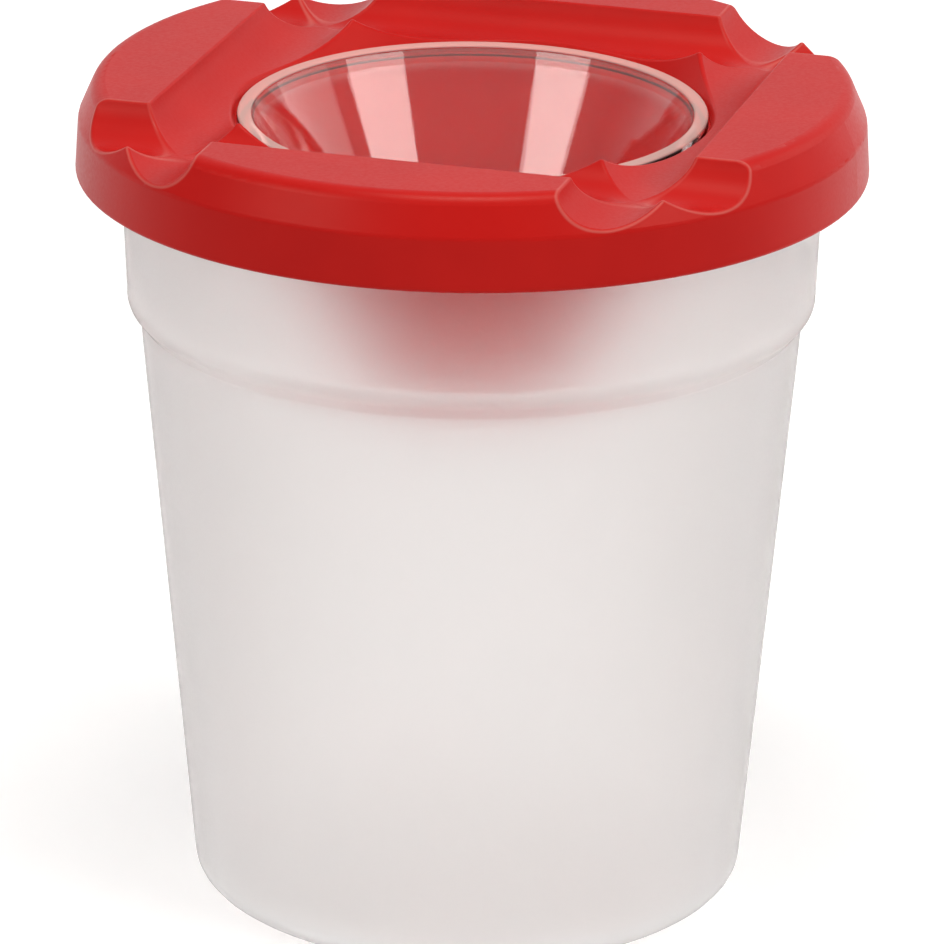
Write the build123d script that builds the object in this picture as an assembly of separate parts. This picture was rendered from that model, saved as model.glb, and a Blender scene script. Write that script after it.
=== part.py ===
from build123d import *
import math
import os

# A no-spill paint cup in millimetres: a frosted cup, a press-on lid with a funnel and brush rests, and a stopper.
# The origin is the centre of the cup's foot, +Z is up, and the brush rests run along X and Y.

# Cup
cup_height = 83.9
cup_wall = 1.1
cup_floor = 1.4
foot_radius = 29.4
foot_round = 2.6
foot_recess = 0.8
foot_ring_width = 2.6
shoulder_height = 64.0
shoulder_radius = 35.1
shoulder_rise = 1.6
shoulder_round = 1.3
band_low_radius = 36.4
band_top_radius = 37.05
rim_reach = 2.2
rim_thickness = 1.5
rim_round = 0.6

# Lid
skirt_wall = 1.4
skirt_draft = 0.35
skirt_drop = 4.2
snap_clearance = 0.35
snap_depth = 0.4
snap_height = 1.0
snap_gap = 0.5
lid_plate = 1.4
lid_edge_inset = 1.8
lid_edge_drop = 4.1
lid_top_round = 1.7
lid_shoulder_round = 1.4
skirt_edge_round = 0.4
seat_rib_width = 1.2
seat_rib_margin = 0.2
locating_ring_width = 1.2
locating_ring_drop = 3.3
locating_clearance = 0.4

# Brush rests
rest_radius = 5.3
rest_depth = 3.7
rest_edge_distance = 17.25
rest_wall = 1.2
rest_rim_gap = 0.6
rest_edge_round = 0.35

# Funnel
funnel_wall = 1.4
funnel_flare = 3.1
funnel_seat_height = 0.7
funnel_ledge_depth = 1.4
funnel_ledge_width = 1.0
funnel_depth = 26.8
funnel_mouth_radius = 9.7
funnel_lip_round = 0.5

# Stopper
stopper_rim_radius = 24.6
stopper_rim_clearance = 0.35
stopper_rim_thickness = 1.5
stopper_rim_round = 0.3
stopper_wall = 1.0
stopper_floor = 1.0
stopper_clearance = 0.4
stopper_reach = 1.5
stopper_round = 0.9

# How far a cutting shape runs past what it cuts, and how near a point counts as on a surface
overrun = 1.0
touch = 0.01

# Places along an edge, as shares of its length, where it is tested
edge_point_shares = (0.25, 0.5, 0.75)

# Heights, radii and slopes that follow from the sizes above
rim_underside = cup_height - rim_thickness
band_low_height = shoulder_height + shoulder_rise
band_slope = (band_top_radius - band_low_radius) / (rim_underside - band_low_height)
rim_radius = band_top_radius + rim_reach
skirt_inner_radius = rim_radius + snap_clearance + snap_depth
lid_radius = skirt_inner_radius + skirt_wall
rest_offset = lid_radius - rest_edge_distance
rest_floor_height = cup_height + rest_rim_gap + rest_wall
lid_top_height = rest_floor_height + rest_depth
rest_axis_height = rest_floor_height + rest_radius
skirt_bottom_height = cup_height - skirt_drop
plate_underside = lid_top_height - lid_plate
hole_radius = stopper_rim_radius + stopper_rim_clearance
ledge_height = rest_floor_height - funnel_ledge_depth
flare_height = ledge_height + funnel_seat_height
funnel_top_radius = hole_radius - funnel_ledge_width
funnel_mouth_height = ledge_height - funnel_depth
funnel_slope = (funnel_top_radius - funnel_mouth_radius) / funnel_depth


def turned(outline):
    """Solid of revolution about Z. Each corner of the outline is a radius, a height and a rounding."""
    corners = [(radius, 0, height) for radius, height, rounding in outline]
    rounds = [rounding for radius, height, rounding in outline]
    return revolve(make_face(FilletPolyline(*corners, radius=rounds, close=True)), Axis.Z)


def ring(inner_radius, outer_radius, low, high):
    """Plain ring about Z between two heights."""
    return turned(
        [
            (inner_radius, low, 0),
            (outer_radius, low, 0),
            (outer_radius, high, 0),
            (inner_radius, high, 0),
        ]
    )


def crossing_rods(radius):
    """Four round rods that follow the brush rests, two along X and two along Y."""
    length = 2 * (lid_radius + overrun)
    rods = Part()
    for turn in (0, 90):
        for side in (-1, 1):
            place = Pos(0, side * rest_offset, rest_axis_height) * Rot(0, 90, 0)
            rods += Rot(0, 0, turn) * place * Cylinder(radius, length)
    return rods


def cup():
    """Tapered cup with a wider band above its shoulder and a flat rim."""
    outside = turned(
        [
            (0, 0, 0),
            (foot_radius, 0, foot_round),
            (shoulder_radius, shoulder_height, 0),
            (band_low_radius, band_low_height, shoulder_round),
            (band_top_radius, rim_underside, 0),
            (rim_radius, rim_underside, rim_round),
            (rim_radius, cup_height, rim_round),
            (0, cup_height, 0),
        ]
    )
    inside_top_radius = band_top_radius + band_slope * (rim_thickness + overrun) - cup_wall
    inside = turned(
        [
            (0, cup_floor, 0),
            (foot_radius - cup_wall, cup_floor, foot_round - cup_wall),
            (shoulder_radius - cup_wall, shoulder_height + cup_wall, 0),
            (band_low_radius - cup_wall, band_low_height + cup_wall, shoulder_round),
            (inside_top_radius, cup_height + overrun, 0),
            (0, cup_height + overrun, 0),
        ]
    )
    recess_radius = foot_radius - foot_round - foot_ring_width
    recess = turned(
        [
            (0, -overrun, 0),
            (recess_radius, -overrun, 0),
            (recess_radius, foot_recess, 0),
            (0, foot_recess, 0),
        ]
    )
    return outside - inside - recess


def lid_skin():
    """Outer form of the lid: skirt, soft shoulder and flat top, filled inside."""
    return turned(
        [
            (0, skirt_bottom_height, 0),
            (lid_radius + skirt_draft, skirt_bottom_height, skirt_edge_round),
            (lid_radius, lid_top_height - lid_edge_drop, lid_shoulder_round),
            (lid_radius - lid_edge_inset, lid_top_height, lid_top_round),
            (0, lid_top_height, 0),
        ]
    )


def lid_hollow():
    """Space under the lid's plate and inside its skirt, with a notch left for the snap bead."""
    bead_top = rim_underside - snap_gap
    bead_low = bead_top - snap_height
    return turned(
        [
            (0, skirt_bottom_height - overrun, 0),
            (skirt_inner_radius + skirt_draft, skirt_bottom_height - overrun, 0),
            (skirt_inner_radius, bead_low, 0),
            (skirt_inner_radius - snap_depth, (bead_low + bead_top) / 2, 0),
            (skirt_inner_radius, bead_top, 0),
            (skirt_inner_radius, lid_top_height - lid_edge_drop - lid_plate, 0),
            (lid_radius - lid_edge_inset - skirt_wall, plate_underside, 0),
            (0, plate_underside, 0),
        ]
    )


def funnel_body():
    """Funnel with its flared top, filled inside."""
    ledge_outer = hole_radius + funnel_wall
    return turned(
        [
            (0, funnel_mouth_height, 0),
            (funnel_mouth_radius + funnel_wall, funnel_mouth_height, funnel_lip_round),
            (funnel_top_radius + funnel_wall, ledge_height, 0),
            (ledge_outer, ledge_height, 0),
            (ledge_outer, flare_height, 0),
            (ledge_outer + funnel_flare, lid_top_height, 0),
            (0, lid_top_height, 0),
        ]
    )


def funnel_bore():
    """Way through the funnel: flare, seat for the stopper's rim and cone."""
    flare_slope = funnel_flare / (lid_top_height - flare_height)
    return turned(
        [
            (0, funnel_mouth_height - overrun, 0),
            (funnel_mouth_radius, funnel_mouth_height - overrun, 0),
            (funnel_mouth_radius, funnel_mouth_height, 0),
            (funnel_top_radius, ledge_height, 0),
            (hole_radius, ledge_height, 0),
            (hole_radius, flare_height, 0),
            (hole_radius + funnel_flare + overrun * flare_slope, lid_top_height + overrun, 0),
            (0, lid_top_height + overrun, 0),
        ]
    )


def on_rest(point):
    """Whether a point lies on the round wall of a brush rest."""
    rise = point.Z - rest_axis_height
    spans = [math.hypot(abs(across) - rest_offset, rise) for across in (point.X, point.Y)]
    return any(abs(span - rest_radius) < touch for span in spans)


def rest_edges(solid):
    """Sharp edges that the brush rests leave in a solid."""
    edges = [edge for edge in solid.edges() if edge.length > touch]
    return [edge for edge in edges if all(on_rest(edge @ share) for share in edge_point_shares)]


def lid():
    """Press-on lid in one moulding."""
    skin = lid_skin()
    seat_outer = rim_radius - rim_round - seat_rib_margin
    band_narrowing = band_slope * (locating_ring_drop - rim_thickness)
    locating_outer = band_top_radius - band_narrowing - cup_wall - locating_clearance
    shell = skin - lid_hollow()
    shell += ring(seat_outer - seat_rib_width, seat_outer, cup_height, plate_underside)
    shell += ring(
        locating_outer - locating_ring_width,
        locating_outer,
        cup_height - locating_ring_drop,
        plate_underside,
    )
    shell += crossing_rods(rest_radius + rest_wall) & skin
    shell += funnel_body()
    shell = shell - crossing_rods(rest_radius) - funnel_bore()
    return fillet(rest_edges(shell), rest_edge_round)


def stopper():
    """Hollow conical plug with a closed end and a thin flat rim."""
    rim_top = ledge_height + stopper_rim_thickness
    end_height = funnel_mouth_height - stopper_reach
    body_radius = funnel_top_radius - stopper_clearance
    end_radius = body_radius - funnel_slope * (ledge_height - end_height)
    outside = turned(
        [
            (0, end_height, 0),
            (end_radius, end_height, stopper_round),
            (body_radius, ledge_height, 0),
            (stopper_rim_radius, ledge_height, stopper_rim_round),
            (stopper_rim_radius, rim_top, stopper_rim_round),
            (0, rim_top, 0),
        ]
    )
    inner_low = end_height + stopper_floor
    inner_low_radius = end_radius + funnel_slope * stopper_floor - stopper_wall
    inner_high = rim_top + overrun
    inner_high_radius = inner_low_radius + funnel_slope * (inner_high - inner_low)
    inside = turned(
        [
            (0, inner_low, 0),
            (inner_low_radius, inner_low, stopper_round),
            (inner_high_radius, inner_high, 0),
            (0, inner_high, 0),
        ]
    )
    return outside - inside


os.makedirs("parts", exist_ok=True)
for name, make in (("cup", cup), ("lid", lid), ("stopper", stopper)):
    piece = make()
    piece.label = name
    export_step(piece, f"parts/{name}.step")
    print(name, "solids", len(piece.solids()), "volume", round(piece.volume))
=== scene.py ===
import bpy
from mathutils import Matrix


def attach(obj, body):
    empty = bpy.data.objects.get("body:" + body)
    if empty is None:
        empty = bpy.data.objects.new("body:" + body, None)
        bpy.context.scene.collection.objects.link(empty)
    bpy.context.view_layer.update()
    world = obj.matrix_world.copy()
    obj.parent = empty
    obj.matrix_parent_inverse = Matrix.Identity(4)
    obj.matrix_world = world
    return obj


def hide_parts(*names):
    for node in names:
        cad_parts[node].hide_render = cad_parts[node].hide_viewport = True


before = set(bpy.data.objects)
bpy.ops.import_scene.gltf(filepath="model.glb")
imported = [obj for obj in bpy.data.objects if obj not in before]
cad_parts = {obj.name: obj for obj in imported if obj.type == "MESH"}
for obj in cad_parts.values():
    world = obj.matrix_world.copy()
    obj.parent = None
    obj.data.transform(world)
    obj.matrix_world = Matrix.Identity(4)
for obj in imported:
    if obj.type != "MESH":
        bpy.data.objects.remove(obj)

"""A no-spill paint cup in a pale studio: frosted cup, red lid with brush rests, clear stopper."""

import logging
import math
from dataclasses import dataclass
from enum import Enum

import bmesh
import bpy
from mathutils import Matrix, Vector

MM = 0.001
IMAGE_SIZE = 944

# Part of a noise's range that is spread over a value, and over a colour
NOISE_SPAN = (0.3, 0.7)
TONE_SPAN = (0.35, 0.65)

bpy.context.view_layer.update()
log = logging.getLogger("paint_cup")


class BodyName(Enum):
    """Bodies of the frame that pieces ride on."""

    CUP = "cup"
    LID = "lid"
    STOPPER = "stopper"


class SlotName(Enum):
    """Material slots of the record."""

    FROSTED = "frosted_plastic"
    RED = "red_plastic"
    CLEAR = "clear_plastic"


# --------------------------------------------------------------------------- node helpers


@dataclass
class NodeBench:
    """Adds and links the nodes of one material."""

    material: bpy.types.Material

    @classmethod
    def fresh(cls, name: str) -> "NodeBench":
        """Start an empty node material.

        Args:
            name: Name of the material.

        Returns:
            The bench of the new material.
        """
        material = bpy.data.materials.new(name)
        material.use_nodes = True
        material.node_tree.nodes.clear()
        return cls(material)

    def add(self, kind: str, **settings: object) -> bpy.types.Node:
        """Add a node.

        Args:
            kind: Blender's name of the node type.
            **settings: Properties of the node.

        Returns:
            The new node.
        """
        node = self.material.node_tree.nodes.new(kind)
        for key, value in settings.items():
            setattr(node, key, value)
        return node

    def link(self, source: bpy.types.NodeSocket, target: bpy.types.NodeSocket) -> None:
        """Link an output to an input.

        Args:
            source: The output.
            target: The input.
        """
        self.material.node_tree.links.new(source, target)

    def set_or_link(self, value: object, target: bpy.types.NodeSocket) -> None:
        """Give an input a number, or link a socket to it.

        Args:
            value: The number or the socket.
            target: The input.
        """
        if isinstance(value, bpy.types.NodeSocket):
            self.link(value, target)
        else:
            target.default_value = value

    def noise(self, scale: float, detail: float) -> bpy.types.NodeSocket:
        """Noise on the object's own coordinates.

        Args:
            scale: Features per metre.
            detail: Octaves of finer noise.

        Returns:
            The noise value, from 0 to 1.
        """
        place = self.add("ShaderNodeTexCoord")
        noise = self.add("ShaderNodeTexNoise")
        noise.inputs["Scale"].default_value = scale
        noise.inputs["Detail"].default_value = detail
        self.link(place.outputs["Object"], noise.inputs["Vector"])
        return noise.outputs["Fac"]

    def spread(self, value: bpy.types.NodeSocket, low: float, high: float) -> bpy.types.NodeSocket:
        """Map a noise value's middle range to two limits.

        Args:
            value: The noise value.
            low: Result at the noise's low end.
            high: Result at the noise's high end.

        Returns:
            The mapped value.
        """
        return self.map_range(value, NOISE_SPAN, (low, high), "LINEAR")

    def blend_colour(
        self, value: bpy.types.NodeSocket, one: tuple, other: tuple
    ) -> bpy.types.NodeSocket:
        """Colour between two tones.

        Args:
            value: Noise value that picks the tone.
            one: Linear red, green and blue at the low end.
            other: Linear red, green and blue at the high end.

        Returns:
            The mixed colour.
        """
        ramp = self.add("ShaderNodeValToRGB")
        for element, place, tone in zip(ramp.color_ramp.elements, TONE_SPAN, (one, other)):
            element.position = place
            element.color = (*tone, 1)
        self.link(value, ramp.inputs["Fac"])
        return ramp.outputs["Color"]

    def height_mask(self, low: float, high: float) -> bpy.types.NodeSocket:
        """Mask that rises from 0 to 1 between two heights of the object.

        Args:
            low: Height in millimetres where it starts.
            high: Height in millimetres where it is full.

        Returns:
            The mask.
        """
        height = self.split_place("Object").outputs["Z"]
        return self.map_range(height, (low * MM, high * MM), (0.0, 1.0), "LINEAR")

    def split_place(self, coordinates: str) -> bpy.types.Node:
        """Split coordinates into X, Y and Z.

        Args:
            coordinates: Output of Texture Coordinate to split.

        Returns:
            The node with the three outputs.
        """
        place = self.add("ShaderNodeTexCoord")
        split = self.add("ShaderNodeSeparateXYZ")
        self.link(place.outputs[coordinates], split.inputs["Vector"])
        return split

    def mix(
        self, factor: bpy.types.NodeSocket, one: object, other: object
    ) -> bpy.types.NodeSocket:
        """Value between two values, each a number or a socket.

        Args:
            factor: 0 for the first value, 1 for the second.
            one: First value.
            other: Second value.

        Returns:
            The mixed value.
        """
        node = self.add("ShaderNodeMix", data_type="FLOAT")
        self.link(factor, node.inputs["Factor"])
        self.set_or_link(one, node.inputs["A"])
        self.set_or_link(other, node.inputs["B"])
        return node.outputs["Result"]

    def mix_colour(
        self, factor: bpy.types.NodeSocket, one: bpy.types.NodeSocket, other: tuple
    ) -> bpy.types.NodeSocket:
        """Colour between a colour socket and a fixed tone.

        Args:
            factor: 0 for the socket, 1 for the tone.
            one: The colour socket.
            other: Linear red, green and blue of the tone.

        Returns:
            The mixed colour.
        """
        node = self.add("ShaderNodeMix", data_type="RGBA")
        tones = [socket for socket in node.inputs if socket.type == "RGBA"]
        self.link(factor, node.inputs["Factor"])
        self.link(one, tones[0])
        tones[1].default_value = (*other, 1)
        return next(socket for socket in node.outputs if socket.type == "RGBA")

    def compute(self, operation: str, *values: object) -> bpy.types.NodeSocket:
        """Sum on one or two values, each a number or a socket.

        Args:
            operation: Blender's name of the operation.
            *values: The values.

        Returns:
            The result.
        """
        node = self.add("ShaderNodeMath", operation=operation)
        for value, socket in zip(values, node.inputs):
            self.set_or_link(value, socket)
        return node.outputs["Value"]

    def length(
        self, one: bpy.types.NodeSocket, other: bpy.types.NodeSocket
    ) -> bpy.types.NodeSocket:
        """Length of a flat vector.

        Args:
            one: Its first part.
            other: Its second part.

        Returns:
            The length.
        """
        squares = [self.compute("POWER", part, 2) for part in (one, other)]
        return self.compute("SQRT", self.compute("ADD", *squares))

    def map_range(
        self,
        value: bpy.types.NodeSocket,
        span: tuple[float, float],
        result: tuple[float, float],
        way: str = "SMOOTHSTEP",
    ) -> bpy.types.NodeSocket:
        """Map a value from one range to another.

        Args:
            value: The value.
            span: Start and end of its range.
            result: Result at the start and at the end.
            way: Blender's name of the interpolation.

        Returns:
            The mapped value.
        """
        node = self.add("ShaderNodeMapRange", interpolation_type=way)
        names = ("From Min", "From Max", "To Min", "To Max")
        for name, limit in zip(names, (*span, *result)):
            node.inputs[name].default_value = limit
        self.link(value, node.inputs["Value"])
        return node.outputs["Result"]

    def bump(self, layers: list[tuple[bpy.types.NodeSocket, float, float]]) -> bpy.types.NodeSocket:
        """Stack bump layers.

        Args:
            layers: Height value, strength and depth in millimetres of each layer.

        Returns:
            The bumped normal.
        """
        normal = None
        for height, strength, depth in layers:
            node = self.add("ShaderNodeBump")
            node.inputs["Strength"].default_value = strength
            node.inputs["Distance"].default_value = depth * MM
            self.link(height, node.inputs["Height"])
            if normal is not None:
                self.link(normal, node.inputs["Normal"])
            normal = node.outputs["Normal"]
        return normal

    def finish(self, **values: float) -> bpy.types.Node:
        """Add the shader and the output.

        Args:
            **values: Uniform values of the shader, with spaces in their names as underscores.

        Returns:
            The shader node.
        """
        shader = self.add("ShaderNodeBsdfPrincipled")
        for key, value in values.items():
            shader.inputs[key.replace("_", " ")].default_value = value
        output = self.add("ShaderNodeOutputMaterial")
        self.link(shader.outputs["BSDF"], output.inputs["Surface"])
        return shader


# --------------------------------------------------------------------------- finishes


@dataclass(frozen=True)
class SatinRed:
    """Soft satin red plastic of the lid.

    Scales are features per metre, each bump is a strength and a depth in millimetres, and the sizes
    of the rests and of the painted highlights on their lips are in millimetres.
    """

    deep: tuple = (0.55, 0.0080, 0.0070)
    bright: tuple = (0.59, 0.0100, 0.0080)
    cloud_scale: float = 70.0
    cloud_detail: float = 3.0
    cloud_bump: tuple = (0.06, 0.5)
    grain_scale: float = 2600.0
    grain_detail: float = 2.0
    grain_bump: tuple = (0.05, 0.04)
    roughness: tuple = (0.34, 0.42)
    refraction: float = 1.5
    gloss: float = 0.17
    gloss_tint: tuple = (1.0, 0.92, 0.81, 1.0)
    rest_offset: float = 24.15
    rest_axis_height: float = 91.0
    # Place, width and pale tone of the highlight painted on the lips of the brush rests
    lip_span: float = 5.5
    lip_width: float = 0.22
    lip_reach: tuple = (33.5, 36.5)
    lip_highlight_tone: tuple = (0.85, 0.42, 0.36)
    lip_highlight_strength: float = 0.2

    def lip_highlight_mask(self, bench: NodeBench) -> bpy.types.NodeSocket:
        """Mask of the painted highlight on the thin lips round the open ends of the brush rests.

        Args:
            bench: Bench of the material.

        Returns:
            The mask, 1 on a lip.
        """
        place = bench.split_place("Object").outputs
        rise = bench.compute("SUBTRACT", place["Z"], self.rest_axis_height * MM)
        lips = []
        for across in ("X", "Y"):
            beside = bench.compute("ABSOLUTE", place[across])
            aside = bench.compute("SUBTRACT", beside, self.rest_offset * MM)
            past = bench.compute("SUBTRACT", bench.length(aside, rise), self.lip_span * MM)
            miss = bench.compute("ABSOLUTE", past)
            lips.append(bench.map_range(miss, (0.0, self.lip_width * MM), (1.0, 0.0)))
        radius = bench.length(place["X"], place["Y"])
        start, full = self.lip_reach
        outer = bench.map_range(radius, (start * MM, full * MM), (0.0, 1.0))
        return bench.compute("MULTIPLY", bench.compute("MAXIMUM", *lips), outer)

    def material(self) -> bpy.types.Material:
        """Build the material.

        Returns:
            The new material.
        """
        bench = NodeBench.fresh("satin_red_plastic")
        cloud = bench.noise(self.cloud_scale, self.cloud_detail)
        grain = bench.noise(self.grain_scale, self.grain_detail)
        shader = bench.finish(
            IOR=self.refraction, Specular_IOR_Level=self.gloss, Specular_Tint=self.gloss_tint
        )
        red = bench.blend_colour(cloud, self.deep, self.bright)
        # Painted highlight on the lips, mixed into the red
        painted_lip_highlight = bench.compute("MULTIPLY", self.lip_highlight_mask(bench), self.lip_highlight_strength)
        normal = bench.bump([(cloud, *self.cloud_bump), (grain, *self.grain_bump)])
        bench.link(bench.mix_colour(painted_lip_highlight, red, self.lip_highlight_tone), shader.inputs["Base Color"])
        bench.link(bench.spread(grain, *self.roughness), shader.inputs["Roughness"])
        bench.link(normal, shader.inputs["Normal"])
        return bench.material


@dataclass(frozen=True)
class FrostedPlastic:
    """Natural frosted plastic of the cup, rougher between the heights of its shoulder."""

    cool: tuple = (0.975, 0.955, 0.947)
    warm: tuple = (0.985, 0.958, 0.950)
    cloud_scale: float = 60.0
    cloud_detail: float = 3.0
    grain_scale: float = 2200.0
    grain_detail: float = 2.0
    grain_bump: tuple = (0.1, 0.05)
    roughness: tuple = (0.50, 0.58)
    shoulder_roughness: float = 0.9
    shoulder: tuple = (62.6, 64.2, 65.6, 67.2)
    refraction: float = 1.35
    clearness: float = 0.94

    def material(self) -> bpy.types.Material:
        """Build the material.

        Returns:
            The new material.
        """
        bench = NodeBench.fresh("frosted_plastic")
        cloud = bench.noise(self.cloud_scale, self.cloud_detail)
        grain = bench.noise(self.grain_scale, self.grain_detail)
        shader = bench.finish(IOR=self.refraction, Transmission_Weight=self.clearness)
        low, low_full, high_full, high = self.shoulder
        shoulder = bench.compute(
            "MINIMUM", bench.height_mask(low, low_full), bench.height_mask(high, high_full)
        )
        plain = bench.spread(grain, *self.roughness)
        roughness = bench.mix(shoulder, plain, self.shoulder_roughness)
        bench.link(bench.blend_colour(cloud, self.cool, self.warm), shader.inputs["Base Color"])
        bench.link(roughness, shader.inputs["Roughness"])
        bench.link(bench.bump([(grain, *self.grain_bump)]), shader.inputs["Normal"])
        return bench.material


@dataclass(frozen=True)
class ClearPlastic:
    """Polished clear plastic of the stopper, a little hazier between the two heights of its top,
    where pink is painted as the red lid's reflection.
    """

    tint: tuple = (1.0, 0.997, 0.997)
    haze: tuple = (0.99, 0.985, 0.985)
    cloud_scale: float = 250.0
    cloud_detail: float = 3.0
    cloud_bump: tuple = (0.05, 0.05)
    roughness: tuple = (0.03, 0.05)
    refraction: float = 1.45
    clearness: float = 0.998
    top_clearness: float = 0.8
    top: tuple = (83.2, 85.4)
    # Pink painted on the stopper's top as the reflection of the red lid round it
    painted_lid_reflection_tone: tuple = (1.0, 0.72, 0.70)

    def material(self) -> bpy.types.Material:
        """Build the material.

        Returns:
            The new material.
        """
        bench = NodeBench.fresh("clear_plastic")
        cloud = bench.noise(self.cloud_scale, self.cloud_detail)
        top = bench.height_mask(*self.top)
        shader = bench.finish(IOR=self.refraction)
        plain = bench.blend_colour(cloud, self.haze, self.tint)
        clearness = bench.mix(top, self.clearness, self.top_clearness)
        # Painted pink reflection of the lid on the top
        bench.link(bench.mix_colour(top, plain, self.painted_lid_reflection_tone), shader.inputs["Base Color"])
        bench.link(clearness, shader.inputs["Transmission Weight"])
        bench.link(bench.spread(cloud, *self.roughness), shader.inputs["Roughness"])
        bench.link(bench.bump([(cloud, *self.cloud_bump)]), shader.inputs["Normal"])
        return bench.material


@dataclass(frozen=True)
class MilkyRim:
    """The same plastic on the stopper's rim, scuffed milky on top, with a painted pink reflection
    of the lid.
    """

    clear: tuple = (1.0, 0.98, 0.98)
    # Milky tone of the scuffed top, with pink painted in as the red lid's reflection
    milk_and_lid_reflection: tuple = (1.0, 0.64, 0.59)
    grain_scale: float = 900.0
    grain_detail: float = 3.0
    roughness: tuple = (0.10, 0.16)
    refraction: float = 1.03
    clearness: float = 0.995
    top_clearness: float = 0.38
    top: tuple = (85.5, 85.7)

    def material(self) -> bpy.types.Material:
        """Build the material.

        Returns:
            The new material.
        """
        bench = NodeBench.fresh("milky_rim_plastic")
        grain = bench.noise(self.grain_scale, self.grain_detail)
        top = bench.height_mask(*self.top)
        shader = bench.finish(IOR=self.refraction)
        clearness = bench.mix(top, self.clearness, self.top_clearness)
        # Milky top tone, partly a painted pink reflection of the lid
        bench.link(bench.blend_colour(top, self.clear, self.milk_and_lid_reflection), shader.inputs["Base Color"])
        bench.link(bench.spread(grain, *self.roughness), shader.inputs["Roughness"])
        bench.link(clearness, shader.inputs["Transmission Weight"])
        return bench.material


# --------------------------------------------------------------------------- turned pieces


@dataclass(frozen=True)
class Corner:
    """Corner of a turned outline, in millimetres."""

    radius: float
    height: float
    rounding: float = 0.0


@dataclass
class TurnedPiece:
    """Closed wall turned about the cup's axis from an outline, with its lengths in millimetres."""

    name: str
    corners: list[Corner]
    steps: int = 192
    round_segments: int = 6
    sharp_angle: float = 40.0
    support: float = 0.2
    shortest_split: float = 0.8
    merge_distance: float = 0.002

    def cut_back(self, index: int) -> float:
        """How far a corner's rounding reaches along its edges.

        Args:
            index: Place of the corner in the outline.

        Returns:
            The reach in millimetres.
        """
        here = self.corners[index]
        before = self.corners[index - 1]
        after = self.corners[(index + 1) % len(self.corners)]
        one = Vector((before.radius - here.radius, before.height - here.height)).normalized()
        other = Vector((after.radius - here.radius, after.height - here.height)).normalized()
        return here.rounding / math.tan(one.angle(other) / 2)

    def add_supports(self, bm: bmesh.types.BMesh) -> None:
        """Split long edges near their ends, which keeps the shading of flat and conical walls true.

        Args:
            bm: Mesh that holds the outline.
        """
        for edge in [edge for edge in bm.edges if edge.calc_length() > self.shortest_split * MM]:
            one, other = edge.verts
            share = self.support * MM / edge.calc_length()
            middle = bmesh.utils.edge_split(edge, one, share)[1]
            rest = next(link for link in middle.link_edges if other in link.verts)
            bmesh.utils.edge_split(rest, other, self.support * MM / rest.calc_length())

    def build(self) -> bpy.types.Object:
        """Turn the outline.

        Returns:
            The new piece.
        """
        bm = bmesh.new()
        places = [(corner.radius * MM, 0, corner.height * MM) for corner in self.corners]
        verts = [bm.verts.new(place) for place in places]
        closed = self.corners[0].radius > 0 or self.corners[-1].radius > 0
        for one, other in zip(verts, verts[1:]):
            bm.edges.new((one, other))
        if closed:
            bm.edges.new((verts[-1], verts[0]))
        for index, (vert, corner) in enumerate(zip(verts, self.corners)):
            if corner.rounding:
                bmesh.ops.bevel(
                    bm,
                    geom=[vert],
                    offset=self.cut_back(index) * MM,
                    offset_type="OFFSET",
                    affect="VERTICES",
                    segments=self.round_segments,
                    profile=0.5,
                    material=-1,
                )
        self.add_supports(bm)
        bmesh.ops.spin(
            bm,
            geom=bm.verts[:] + bm.edges[:],
            axis=(0, 0, 1),
            cent=(0, 0, 0),
            dvec=(0, 0, 0),
            angle=math.tau,
            steps=self.steps,
            use_merge=True,
            use_duplicate=False,
        )
        bmesh.ops.remove_doubles(bm, verts=bm.verts[:], dist=self.merge_distance * MM)
        bmesh.ops.recalc_face_normals(bm, faces=bm.faces[:])
        for face in bm.faces:
            face.smooth = True
        mesh = bpy.data.meshes.new(self.name)
        bm.to_mesh(mesh)
        bm.free()
        mesh.set_sharp_from_angle(angle=math.radians(self.sharp_angle))
        piece = bpy.data.objects.new(self.name, mesh)
        bpy.context.scene.collection.objects.link(piece)
        return piece


def dress(piece: bpy.types.Object, material: bpy.types.Material) -> None:
    """Give a piece its only material.

    Args:
        piece: The piece.
        material: The material.
    """
    piece.data.materials.clear()
    piece.data.materials.append(material)


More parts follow.
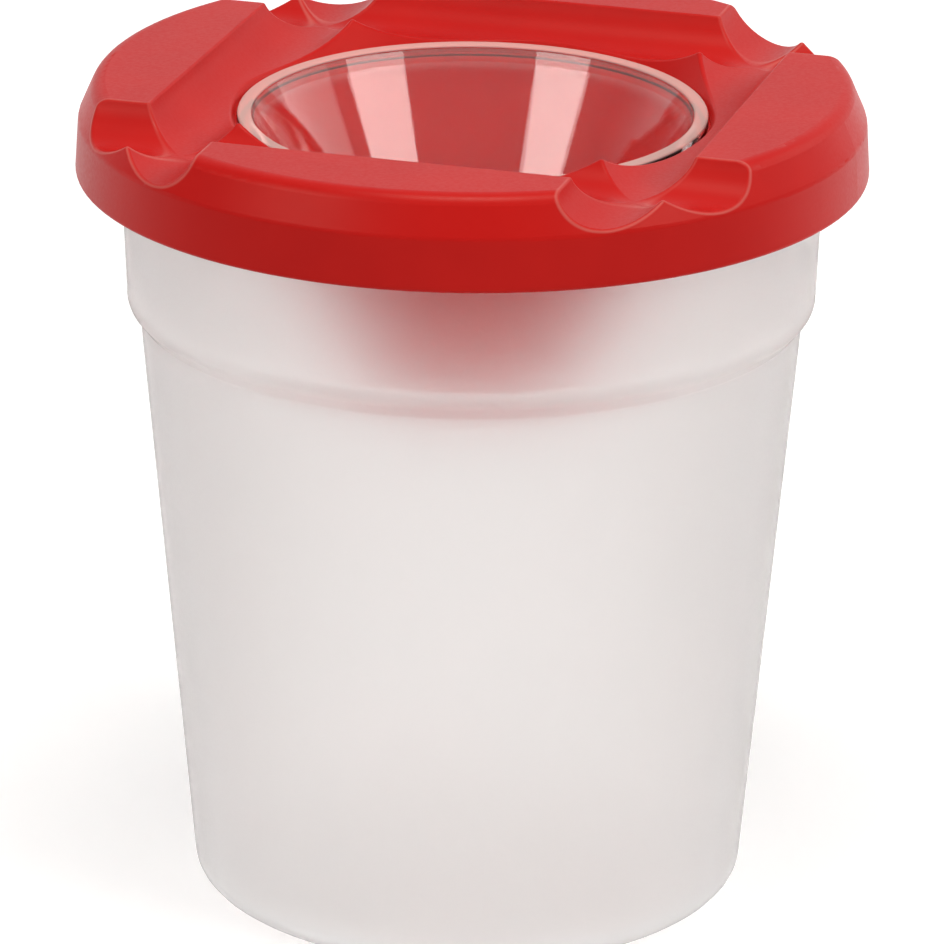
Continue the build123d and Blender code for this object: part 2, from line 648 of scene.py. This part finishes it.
@dataclass
class Cup:
    """Frosted cup with its band, shoulder, rim and foot ring, in millimetres."""

    height: float = 83.9
    wall: float = 1.1
    floor: float = 1.4
    foot_radius: float = 29.4
    foot_round: float = 2.6
    foot_recess: float = 0.8
    foot_ring_width: float = 2.6
    shoulder_height: float = 64.0
    shoulder_radius: float = 35.1
    shoulder_rise: float = 1.6
    shoulder_round: float = 1.3
    band_low_radius: float = 36.4
    band_top_radius: float = 37.05
    rim_reach: float = 2.2
    rim_thickness: float = 1.5
    rim_round: float = 0.6
    edge_round: float = 0.3
    bend_round: float = 0.5

    def corners(self) -> list[Corner]:
        """Outline from the middle of the underside, round the rim, to the middle of the floor.

        Returns:
            The corners in order.
        """
        ring_inner = self.foot_radius - self.foot_round - self.foot_ring_width
        band_low = self.shoulder_height + self.shoulder_rise
        rim_low = self.height - self.rim_thickness
        rim_radius = self.band_top_radius + self.rim_reach
        slope = (self.band_top_radius - self.band_low_radius) / (rim_low - band_low)
        inner_top = self.band_top_radius + slope * self.rim_thickness - self.wall
        inner_band = self.band_low_radius - self.wall
        inner_shoulder = self.shoulder_radius - self.wall
        inner_foot = self.foot_radius - self.wall
        return [
            Corner(0, self.foot_recess),
            Corner(ring_inner, self.foot_recess, self.edge_round),
            Corner(ring_inner, 0, self.edge_round),
            Corner(self.foot_radius, 0, self.foot_round),
            Corner(self.shoulder_radius, self.shoulder_height, self.bend_round),
            Corner(self.band_low_radius, band_low, self.shoulder_round),
            Corner(self.band_top_radius, rim_low, self.edge_round),
            Corner(rim_radius, rim_low, self.rim_round),
            Corner(rim_radius, self.height, self.rim_round),
            Corner(inner_top, self.height, self.edge_round),
            Corner(inner_band, band_low + self.wall, self.shoulder_round),
            Corner(inner_shoulder, self.shoulder_height + self.wall, self.bend_round),
            Corner(inner_foot, self.floor, self.foot_round - self.wall),
            Corner(0, self.floor),
        ]

    def build(self) -> bpy.types.Object:
        """Turn and dress the cup.

        Returns:
            The new piece.
        """
        piece = TurnedPiece("frosted_cup", self.corners()).build()
        dress(piece, FrostedPlastic().material())
        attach(piece, BodyName.CUP.value)
        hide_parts("cup")
        return piece


@dataclass
class Stopper:
    """Clear conical plug with a flat rim and a closed end, in millimetres."""

    rim_radius: float = 24.75
    rim_thickness: float = 1.5
    rim_round: float = 0.3
    neck_round: float = 0.5
    ledge_height: float = 84.3
    body_radius: float = 23.55
    end_radius: float = 8.502
    end_height: float = 56.0
    wall: float = 1.0
    end_round: float = 0.9
    milky_radius: float = 23.2
    milky_height: float = 85.6

    def corners(self) -> list[Corner]:
        """Outline from the middle of the end, round the rim, to the middle of the inside.

        Returns:
            The corners in order.
        """
        rim_top = self.ledge_height + self.rim_thickness
        rise = self.ledge_height - self.end_height
        slope = (self.body_radius - self.end_radius) / rise
        inner_end = self.end_radius + slope * self.wall - self.wall
        inner_top = inner_end + slope * (rim_top - self.end_height - self.wall)
        return [
            Corner(0, self.end_height),
            Corner(self.end_radius, self.end_height, self.end_round),
            Corner(self.body_radius, self.ledge_height, self.neck_round),
            Corner(self.rim_radius, self.ledge_height, self.rim_round),
            Corner(self.rim_radius, rim_top, self.rim_round),
            Corner(inner_top, rim_top, self.rim_round),
            Corner(inner_end, self.end_height + self.wall, self.end_round),
            Corner(0, self.end_height + self.wall),
        ]

    def build(self) -> bpy.types.Object:
        """Turn and dress the stopper, with its milky rim as a second material.

        Returns:
            The new piece.
        """
        piece = TurnedPiece("clear_stopper", self.corners()).build()
        dress(piece, ClearPlastic().material())
        piece.data.materials.append(MilkyRim().material())
        for face in piece.data.polygons:
            beyond = math.hypot(face.center.x, face.center.y) > self.milky_radius * MM
            face.material_index = int(beyond or face.center.z > self.milky_height * MM)
        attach(piece, BodyName.STOPPER.value)
        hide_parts("stopper")
        return piece


@dataclass
class Lid:
    """Red lid, shaped in the frame and dressed here."""

    node: str = "lid"

    def build(self) -> bpy.types.Object:
        """Dress the lid.

        Returns:
            The frame's own piece.
        """
        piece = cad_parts[self.node]
        dress(piece, SatinRed().material())
        return piece


# --------------------------------------------------------------------------- studio


@dataclass(frozen=True)
class Softbox:
    """Soft lamp that faces the lid, placed by its bearing from the camera's side.

    Angles are in degrees, lengths in metres and the power in watts.
    """

    name: str
    bearing: float
    elevation: float
    distance: float
    width: float
    height: float
    power: float
    colour: tuple = (1.0, 0.975, 0.935)
    aim_height: float = 0.07

    def build(self, camera_turn: float) -> bpy.types.Object:
        """Hang the lamp.

        Args:
            camera_turn: Bearing of the camera about Z, in degrees from -Y.

        Returns:
            The lamp.
        """
        data = bpy.data.lights.new(self.name, "AREA")
        data.shape = "RECTANGLE"
        data.size = self.width
        data.size_y = self.height
        data.energy = self.power
        data.color = self.colour
        lamp = bpy.data.objects.new(self.name, data)
        turn = math.radians(camera_turn + self.bearing)
        rise = math.radians(self.elevation)
        reach = math.cos(rise)
        way = Vector((math.sin(turn) * reach, -math.cos(turn) * reach, math.sin(rise)))
        lamp.location = Vector((0, 0, self.aim_height)) + way * self.distance
        lamp.rotation_euler = (-way).to_track_quat("-Z", "Y").to_euler()
        bpy.context.scene.collection.objects.link(lamp)
        return lamp


@dataclass
class Studio:
    """Pale floor, white surroundings, lamps and the camera.

    Lengths are in metres, the camera's turn in degrees, its pitch and roll in radians, and each
    pair of a glow or an edge is its start and its end.
    """

    camera_turn: float = 16.54
    camera_distance: float = 0.7
    camera_height: float = 0.3070556
    camera_pitch: float = 0.357946
    camera_roll: float = 0.007657
    focal_pixels: float = 6984.993
    centre_pixel: float = 469.985
    sensor: float = 36.0
    view_end: float = 20.0
    floor_half: float = 1.5
    floor_tone: float = 0.7
    floor_glow: tuple = (0.5, 0.95)
    floor_glow_span: tuple = (0.1, 0.6)
    floor_through: float = 1.0
    floor_edge: tuple = (-0.1, 0.1)
    room_light: float = 0.28
    room_gloss: float = 0.06
    sky_edge: tuple = (0.0, 0.6)
    overhead: tuple = (1.0, 2.1)
    overhead_span: tuple = (0.35, 0.9)
    lamps: tuple = (
        Softbox("left_window", -54.8, 33, 0.8, 0.375, 0.2, 1.6),
        Softbox("right_window", 59.9, 32, 0.8, 0.41, 0.28, 2.2),
        Softbox("right_card", 108, 27, 0.8, 0.5, 0.4, 0.9),
        Softbox("top", 0, 80, 0.8, 0.3, 0.3, 2.8),
    )

    def turn(self) -> Matrix:
        """Turn about Z from the world to the camera's side.

        Returns:
            The turn.
        """
        return Matrix.Rotation(math.radians(self.camera_turn), 4, "Z")

    def place_camera(self) -> None:
        """Set the camera at the photograph's angle."""
        data = bpy.data.cameras.new("view")
        data.sensor_width = self.sensor
        data.lens = self.sensor * self.focal_pixels / IMAGE_SIZE
        data.shift_x = (IMAGE_SIZE / 2 - self.centre_pixel) / IMAGE_SIZE
        data.clip_end = self.view_end
        camera = bpy.data.objects.new("view", data)
        lean = Matrix.Rotation(math.pi / 2 - self.camera_pitch, 4, "X")
        roll = Matrix.Rotation(self.camera_roll, 4, "Z")
        place = self.turn() @ Vector((0, -self.camera_distance, self.camera_height))
        camera.matrix_world = Matrix.Translation(place) @ self.turn() @ lean @ roll
        bpy.context.scene.collection.objects.link(camera)
        bpy.context.scene.camera = camera

    def lay_floor(self) -> None:
        """Lay the pale floor.

        It glows a little more with its distance, and seen through clear pieces it is plain white.
        """
        bm = bmesh.new()
        bmesh.ops.create_grid(bm, x_segments=1, y_segments=1, size=self.floor_half)
        mesh = bpy.data.meshes.new("floor")
        bm.to_mesh(mesh)
        bm.free()
        floor = bpy.data.objects.new("floor", mesh)
        bpy.context.scene.collection.objects.link(floor)
        bench = NodeBench.fresh("pale_floor")
        matt = bench.add("ShaderNodeBsdfDiffuse")
        matt.inputs["Color"].default_value = (*[self.floor_tone] * 3, 1)
        glow = bench.add("ShaderNodeEmission")
        place = bench.add("ShaderNodeTexCoord")
        span = bench.add("ShaderNodeVectorMath", operation="LENGTH")
        bench.link(place.outputs["Object"], span.inputs[0])
        far = bench.map_range(span.outputs["Value"], self.floor_glow_span, self.floor_glow)
        levels = (0.0, 0.0, far, 0.0)
        strength = self.backdrop_strength(bench, "Object", self.floor_edge, levels)
        bench.link(strength, glow.inputs["Strength"])
        both = bench.add("ShaderNodeAddShader")
        bench.link(matt.outputs["BSDF"], both.inputs[0])
        bench.link(glow.outputs["Emission"], both.inputs[1])
        white = bench.add("ShaderNodeEmission")
        white.inputs["Strength"].default_value = self.floor_through
        path = bench.add("ShaderNodeLightPath")
        choice = bench.add("ShaderNodeMixShader")
        bench.link(path.outputs["Is Transmission Ray"], choice.inputs["Fac"])
        bench.link(both.outputs["Shader"], choice.inputs[1])
        bench.link(white.outputs["Emission"], choice.inputs[2])
        output = bench.add("ShaderNodeOutputMaterial")
        bench.link(choice.outputs["Shader"], output.inputs["Surface"])
        dress(floor, bench.material)

    def backdrop_strength(
        self, bench: NodeBench, coordinates: str, edge: tuple, levels: tuple
    ) -> bpy.types.NodeSocket:
        """Strength of the backdrop for each kind of ray.

        Eyes and clear pieces see it all round, gloss sees it behind the object, and the rest gets
        the room's light.

        Args:
            bench: Bench of the material or world.
            coordinates: Output of Texture Coordinate that tells where a ray ends.
            edge: Where on the way to the back the backdrop starts and is full, for gloss.
            levels: Strength of the room's light, of the dim room that gloss sees, of the backdrop,
                and of what clear pieces let through.

        Returns:
            The strength.
        """
        room, dim, full, through = levels
        place = bench.add("ShaderNodeTexCoord")
        way = bench.add("ShaderNodeVectorMath", operation="DOT_PRODUCT")
        way.inputs[1].default_value = self.turn() @ Vector((0, 1, 0))
        bench.link(place.outputs[coordinates], way.inputs[0])
        behind = bench.map_range(way.outputs["Value"], edge, (0.0, 1.0))
        path = bench.add("ShaderNodeLightPath")
        reflected = bench.mix(behind, dim, full)
        gloss = bench.mix(path.outputs["Is Glossy Ray"], room, reflected)
        clear = bench.mix(path.outputs["Is Transmission Ray"], gloss, through)
        return bench.mix(path.outputs["Is Camera Ray"], clear, full)

    def light_world(self) -> None:
        """Set the white backdrop and the soft light of the room."""
        world = bpy.data.worlds.new("studio")
        bpy.context.scene.world = world
        world.use_nodes = True
        world.node_tree.nodes.clear()
        bench = NodeBench(world)
        sky = bench.add("ShaderNodeBackground")
        height = bench.split_place("Generated").outputs["Z"]
        above = bench.map_range(height, self.overhead_span, self.overhead)
        levels = (self.room_light, self.room_gloss, 1.0, above)
        strength = self.backdrop_strength(bench, "Generated", self.sky_edge, levels)
        bench.link(strength, sky.inputs["Strength"])
        output = bench.add("ShaderNodeOutputWorld")
        bench.link(sky.outputs["Background"], output.inputs["Surface"])

    def build(self) -> None:
        """Set up everything round the object."""
        self.place_camera()
        self.lay_floor()
        self.light_world()
        for lamp in self.lamps:
            lamp.build(self.camera_turn)
        bpy.context.scene.view_settings.view_transform = "Standard"


def main() -> None:
    """Build the pieces, then the studio."""
    logging.basicConfig(level=logging.INFO, format="%(name)s %(message)s")
    for part in (Cup(), Lid(), Stopper()):
        piece = part.build()
        log.info("%s: %d faces", piece.name, len(piece.data.polygons))
    Studio().build()


if __name__ == "__main__":
    main()
